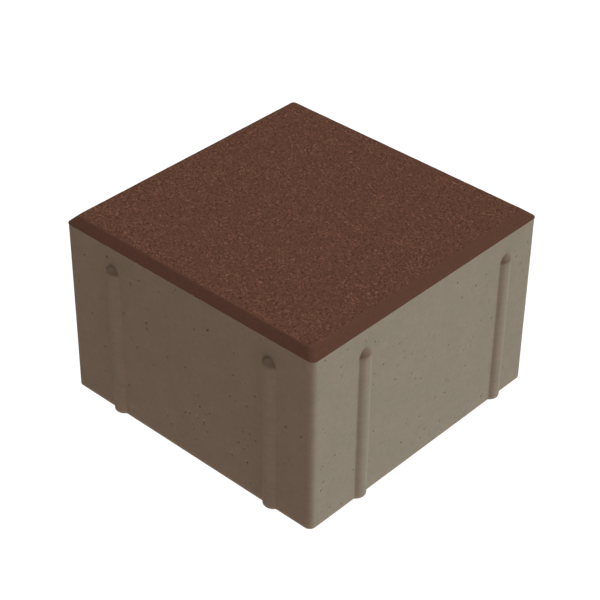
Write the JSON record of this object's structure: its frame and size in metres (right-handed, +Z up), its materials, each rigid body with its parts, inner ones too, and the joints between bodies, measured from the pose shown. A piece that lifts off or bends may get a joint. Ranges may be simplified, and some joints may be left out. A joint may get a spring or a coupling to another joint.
{
  "type": "concrete paving stone",
  "caption": "Square concrete paving stone with a coloured, bevelled facing layer on a grey base block that has upright spacer ribs on its walls.",
  "frame": {"origin": "centre of the bedding face, on the ground", "axes": "+Z up, from the bedding face to the wearing face; +X and +Y square to the walls, with the widest bevel at +X"},
  "size_m": [0.0976, 0.0976, 0.06],
  "materials": {
    "base_concrete": "matt, warm grey, dense pressed concrete with small scattered pores",
    "facing_concrete": "matt, dark red-brown, fine-grained facing concrete"
  },
  "bodies": {
    "root": {"base_block": "base_concrete", "facing_layer": "facing_concrete"}
  },
  "joints": []
}
